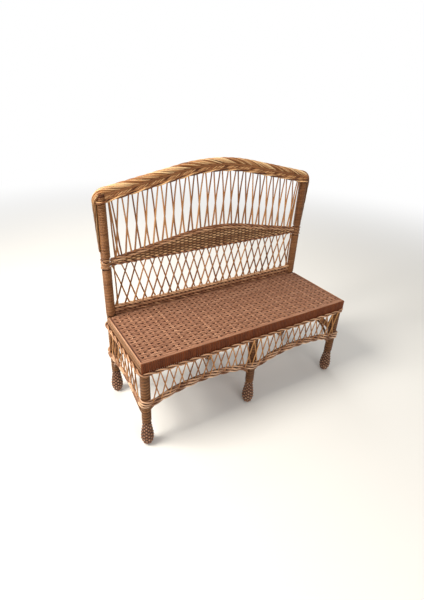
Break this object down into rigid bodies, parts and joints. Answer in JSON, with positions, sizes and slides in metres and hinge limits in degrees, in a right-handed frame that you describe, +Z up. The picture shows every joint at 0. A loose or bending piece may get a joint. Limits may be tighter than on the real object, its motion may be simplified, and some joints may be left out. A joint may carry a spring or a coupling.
{
  "type": "willow bench",
  "caption": "Free-standing woven willow bench with an arched lattice back, a flat woven seat, an arched lattice apron and bound legs on woven bulb feet.",
  "frame": {"origin": "on the floor under the middle of the bench's box", "axes": "+Z up, +X along the seat to the sitter's left as seen from behind, to the viewer's right from the front; the front faces -Y"},
  "size_m": [1.1296, 0.441, 1.094],
  "materials": {
    "pole": "peeled willow pole, smooth",
    "sawn_wood": "sawn softwood, bare",
    "nail_steel": "plain steel wire nail",
    "foot_weave": "close willow weave, lacquered dark brown",
    "seat_weave": "close willow weave, lacquered brown",
    "seat_edge": "close willow strips, lacquered dark brown",
    "back_weave": "close willow weave, lacquered brown",
    "binding": "wound split willow, lacquered golden brown",
    "lattice_rod": "thin peeled willow rods, lacquered",
    "braid": "plaited willow, lacquered golden brown",
    "border_rod": "twisted willow rods, lacquered brown"
  },
  "bodies": {
    "root": {"centre_seat_bearer": "sawn_wood", "front_apron_lattice": "lattice_rod", "front_centre_foot": "foot_weave", "front_centre_leg": "pole", "front_centre_leg_binding": "binding", "front_left_foot": "foot_weave", "front_left_leg": "pole", "front_left_leg_binding": "binding", "front_left_lower_border": "border_rod", "front_right_foot": "foot_weave", "front_right_leg": "pole", "front_right_leg_binding": "binding", "front_right_lower_border": "border_rod", "front_seat_band": "seat_edge", "front_seat_rail": "sawn_wood", "front_upper_border": "border_rod", "left_apron_lattice": "lattice_rod", "left_back_post": "pole", "left_lower_border": "border_rod", "left_mid_lashing": "binding", "left_post_binding": "binding", "left_seat_band": "seat_edge", "left_seat_bearer": "sawn_wood", "left_seat_rail": "sawn_wood", "left_upper_border": "border_rod", "lower_lattice_front_rods": "lattice_rod", "lower_lattice_rear_rods": "lattice_rod", "mid_band": "back_weave", "mid_lower_border": "border_rod", "mid_upper_border": "border_rod", "rear_apron_lattice": "lattice_rod", "rear_centre_foot": "foot_weave", "rear_centre_leg": "pole", "rear_centre_leg_binding": "binding", "rear_left_foot": "foot_weave", "rear_left_leg_binding": "binding", "rear_left_lower_border": "border_rod", "rear_right_foot": "foot_weave", "rear_right_leg_binding": "binding", "rear_right_lower_border": "border_rod", "rear_seat_band": "seat_edge", "rear_seat_border": "border_rod", "rear_seat_rail": "sawn_wood", "rear_upper_border": "border_rod", "right_apron_lattice": "lattice_rod", "right_back_post": "pole", "right_lower_border": "border_rod", "right_mid_lashing": "binding", "right_post_binding": "binding", "right_seat_band": "seat_edge", "right_seat_bearer": "sawn_wood", "right_seat_rail": "sawn_wood", "right_upper_border": "border_rod", "seat_panel": "seat_weave", "top_braid": "braid", "top_rail": "pole", "top_rail_nails": "nail_steel", "top_waling": "braid", "upper_lattice_front_rods": "lattice_rod", "upper_lattice_rear_rods": "lattice_rod"}
  },
  "joints": []
}
